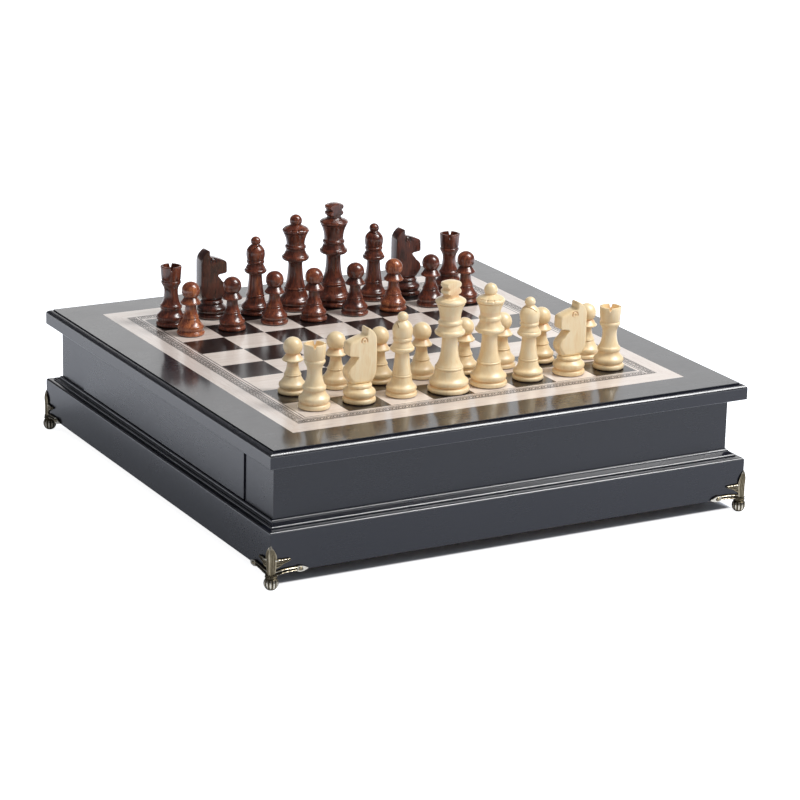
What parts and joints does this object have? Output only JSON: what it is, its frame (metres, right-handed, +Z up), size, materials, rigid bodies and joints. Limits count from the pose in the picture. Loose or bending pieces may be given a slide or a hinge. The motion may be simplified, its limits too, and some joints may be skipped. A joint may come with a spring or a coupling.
{
  "type": "chess box with drawers",
  "caption": "Low square chess box: inlaid board on top, storage drawers in the sides, stepped base on small ball feet, with a full set of turned chessmen.",
  "frame": {"origin": "centre of the footprint on the surface that the feet stand on", "axes": "+X to the right along the front, +Y to the back, +Z up; the drawers open towards -X and +X"},
  "size_m": [0.4632, 0.4752, 0.211],
  "materials": {
    "black_lacquer": "high-gloss black lacquer",
    "light_veneer": "satin pale maple veneer with fine grain",
    "dark_veneer": "satin black-stained veneer",
    "plain_wood": "plain sealed softwood",
    "green_felt": "napped green felt",
    "aged_brass": "antiqued cast brass, worn bright on the edges",
    "catch_steel": "brushed steel",
    "pale_boxwood": "satin waxed boxwood",
    "red_brown_wood": "polished red-brown wood with streaky grain"
  },
  "bodies": {
    "case": {"top_panel": "black_lacquer", "board_sheet": "light_veneer", "dark_squares": "dark_veneer", "border_lines": "dark_veneer", "front_wall": "black_lacquer", "back_wall": "black_lacquer", "corner_stiles": "black_lacquer", "centre_divider": "plain_wood", "floor_panel": "plain_wood", "guide_rails": "plain_wood", "base_moulding": "black_lacquer", "plinth_boards": "black_lacquer", "foot_front_left": "aged_brass", "foot_front_right": "aged_brass", "foot_back_left": "aged_brass", "foot_back_right": "aged_brass", "foot_screws": "aged_brass", "catch_housings": "catch_steel"},
    "left_drawer": {"left_drawer_front": "black_lacquer", "left_drawer_box": "plain_wood", "left_drawer_dividers": "plain_wood", "left_drawer_lining": "green_felt"},
    "right_drawer": {"right_drawer_front": "black_lacquer", "right_drawer_box": "plain_wood", "right_drawer_dividers": "plain_wood", "right_drawer_lining": "green_felt"},
    "left_plunger": {"left_plunger": "catch_steel"},
    "right_plunger": {"right_plunger": "catch_steel"},
    "white_rook_1": {"white_rook_1": "pale_boxwood"},
    "white_knight_1": {"white_knight_1": "pale_boxwood"},
    "white_bishop_1": {"white_bishop_1": "pale_boxwood"},
    "white_king": {"white_king": "pale_boxwood"},
    "white_queen": {"white_queen": "pale_boxwood"},
    "white_bishop_2": {"white_bishop_2": "pale_boxwood"},
    "white_knight_2": {"white_knight_2": "pale_boxwood"},
    "white_rook_2": {"white_rook_2": "pale_boxwood"},
    "white_pawn_1": {"white_pawn_1": "pale_boxwood"},
    "white_pawn_2": {"white_pawn_2": "pale_boxwood"},
    "white_pawn_3": {"white_pawn_3": "pale_boxwood"},
    "white_pawn_4": {"white_pawn_4": "pale_boxwood"},
    "white_pawn_5": {"white_pawn_5": "pale_boxwood"},
    "white_pawn_6": {"white_pawn_6": "pale_boxwood"},
    "white_pawn_7": {"white_pawn_7": "pale_boxwood"},
    "white_pawn_8": {"white_pawn_8": "pale_boxwood"},
    "brown_rook_1": {"brown_rook_1": "red_brown_wood"},
    "brown_knight_1": {"brown_knight_1": "red_brown_wood"},
    "brown_bishop_1": {"brown_bishop_1": "red_brown_wood"},
    "brown_king": {"brown_king": "red_brown_wood"},
    "brown_queen": {"brown_queen": "red_brown_wood"},
    "brown_bishop_2": {"brown_bishop_2": "red_brown_wood"},
    "brown_knight_2": {"brown_knight_2": "red_brown_wood"},
    "brown_rook_2": {"brown_rook_2": "red_brown_wood"},
    "brown_pawn_1": {"brown_pawn_1": "red_brown_wood"},
    "brown_pawn_2": {"brown_pawn_2": "red_brown_wood"},
    "brown_pawn_3": {"brown_pawn_3": "red_brown_wood"},
    "brown_pawn_4": {"brown_pawn_4": "red_brown_wood"},
    "brown_pawn_5": {"brown_pawn_5": "red_brown_wood"},
    "brown_pawn_6": {"brown_pawn_6": "red_brown_wood"},
    "brown_pawn_7": {"brown_pawn_7": "red_brown_wood"},
    "brown_pawn_8": {"brown_pawn_8": "red_brown_wood"}
  },
  "joints": [
    {"name": "drawer_left_slide", "type": "slide", "parent": "case", "child": "left_drawer", "axis": [-1, 0, 0], "range_m": [0, 0.15]},
    {"name": "drawer_right_slide", "type": "slide", "parent": "case", "child": "right_drawer", "axis": [1, 0, 0], "range_m": [0, 0.15]},
    {"name": "catch_left_plunger", "type": "slide", "parent": "case", "child": "left_plunger", "axis": [-1, 0, 0], "range_m": [0, 0.015]},
    {"name": "catch_right_plunger", "type": "slide", "parent": "case", "child": "right_plunger", "axis": [1, 0, 0], "range_m": [0, 0.015]},
    {"name": "lift_white_rook_1", "type": "slide", "parent": "case", "child": "white_rook_1", "axis": [0, 0, 1], "range_m": [0, 0.12]},
    {"name": "lift_white_knight_1", "type": "slide", "parent": "case", "child": "white_knight_1", "axis": [0, 0, 1], "range_m": [0, 0.12]},
    {"name": "lift_white_bishop_1", "type": "slide", "parent": "case", "child": "white_bishop_1", "axis": [0, 0, 1], "range_m": [0, 0.12]},
    {"name": "lift_white_king", "type": "slide", "parent": "case", "child": "white_king", "axis": [0, 0, 1], "range_m": [0, 0.12]},
    {"name": "lift_white_queen", "type": "slide", "parent": "case", "child": "white_queen", "axis": [0, 0, 1], "range_m": [0, 0.12]},
    {"name": "lift_white_bishop_2", "type": "slide", "parent": "case", "child": "white_bishop_2", "axis": [0, 0, 1], "range_m": [0, 0.12]},
    {"name": "lift_white_knight_2", "type": "slide", "parent": "case", "child": "white_knight_2", "axis": [0, 0, 1], "range_m": [0, 0.12]},
    {"name": "lift_white_rook_2", "type": "slide", "parent": "case", "child": "white_rook_2", "axis": [0, 0, 1], "range_m": [0, 0.12]},
    {"name": "lift_white_pawn_1", "type": "slide", "parent": "case", "child": "white_pawn_1", "axis": [0, 0, 1], "range_m": [0, 0.12]},
    {"name": "lift_white_pawn_2", "type": "slide", "parent": "case", "child": "white_pawn_2", "axis": [0, 0, 1], "range_m": [0, 0.12]},
    {"name": "lift_white_pawn_3", "type": "slide", "parent": "case", "child": "white_pawn_3", "axis": [0, 0, 1], "range_m": [0, 0.12]},
    {"name": "lift_white_pawn_4", "type": "slide", "parent": "case", "child": "white_pawn_4", "axis": [0, 0, 1], "range_m": [0, 0.12]},
    {"name": "lift_white_pawn_5", "type": "slide", "parent": "case", "child": "white_pawn_5", "axis": [0, 0, 1], "range_m": [0, 0.12]},
    {"name": "lift_white_pawn_6", "type": "slide", "parent": "case", "child": "white_pawn_6", "axis": [0, 0, 1], "range_m": [0, 0.12]},
    {"name": "lift_white_pawn_7", "type": "slide", "parent": "case", "child": "white_pawn_7", "axis": [0, 0, 1], "range_m": [0, 0.12]},
    {"name": "lift_white_pawn_8", "type": "slide", "parent": "case", "child": "white_pawn_8", "axis": [0, 0, 1], "range_m": [0, 0.12]},
    {"name": "lift_brown_rook_1", "type": "slide", "parent": "case", "child": "brown_rook_1", "axis": [0, 0, 1], "range_m": [0, 0.12]},
    {"name": "lift_brown_knight_1", "type": "slide", "parent": "case", "child": "brown_knight_1", "axis": [0, 0, 1], "range_m": [0, 0.12]},
    {"name": "lift_brown_bishop_1", "type": "slide", "parent": "case", "child": "brown_bishop_1", "axis": [0, 0, 1], "range_m": [0, 0.12]},
    {"name": "lift_brown_king", "type": "slide", "parent": "case", "child": "brown_king", "axis": [0, 0, 1], "range_m": [0, 0.12]},
    {"name": "lift_brown_queen", "type": "slide", "parent": "case", "child": "brown_queen", "axis": [0, 0, 1], "range_m": [0, 0.12]},
    {"name": "lift_brown_bishop_2", "type": "slide", "parent": "case", "child": "brown_bishop_2", "axis": [0, 0, 1], "range_m": [0, 0.12]},
    {"name": "lift_brown_knight_2", "type": "slide", "parent": "case", "child": "brown_knight_2", "axis": [0, 0, 1], "range_m": [0, 0.12]},
    {"name": "lift_brown_rook_2", "type": "slide", "parent": "case", "child": "brown_rook_2", "axis": [0, 0, 1], "range_m": [0, 0.12]},
    {"name": "lift_brown_pawn_1", "type": "slide", "parent": "case", "child": "brown_pawn_1", "axis": [0, 0, 1], "range_m": [0, 0.12]},
    {"name": "lift_brown_pawn_2", "type": "slide", "parent": "case", "child": "brown_pawn_2", "axis": [0, 0, 1], "range_m": [0, 0.12]},
    {"name": "lift_brown_pawn_3", "type": "slide", "parent": "case", "child": "brown_pawn_3", "axis": [0, 0, 1], "range_m": [0, 0.12]},
    {"name": "lift_brown_pawn_4", "type": "slide", "parent": "case", "child": "brown_pawn_4", "axis": [0, 0, 1], "range_m": [0, 0.12]},
    {"name": "lift_brown_pawn_5", "type": "slide", "parent": "case", "child": "brown_pawn_5", "axis": [0, 0, 1], "range_m": [0, 0.12]},
    {"name": "lift_brown_pawn_6", "type": "slide", "parent": "case", "child": "brown_pawn_6", "axis": [0, 0, 1], "range_m": [0, 0.12]},
    {"name": "lift_brown_pawn_7", "type": "slide", "parent": "case", "child": "brown_pawn_7", "axis": [0, 0, 1], "range_m": [0, 0.12]},
    {"name": "lift_brown_pawn_8", "type": "slide", "parent": "case", "child": "brown_pawn_8", "axis": [0, 0, 1], "range_m": [0, 0.12]}
  ],
  "couplings": [
    {"joint": "catch_left_plunger", "follows": "drawer_left_slide", "ratio": 0.1},
    {"joint": "catch_right_plunger", "follows": "drawer_right_slide", "ratio": 0.1}
  ]
}
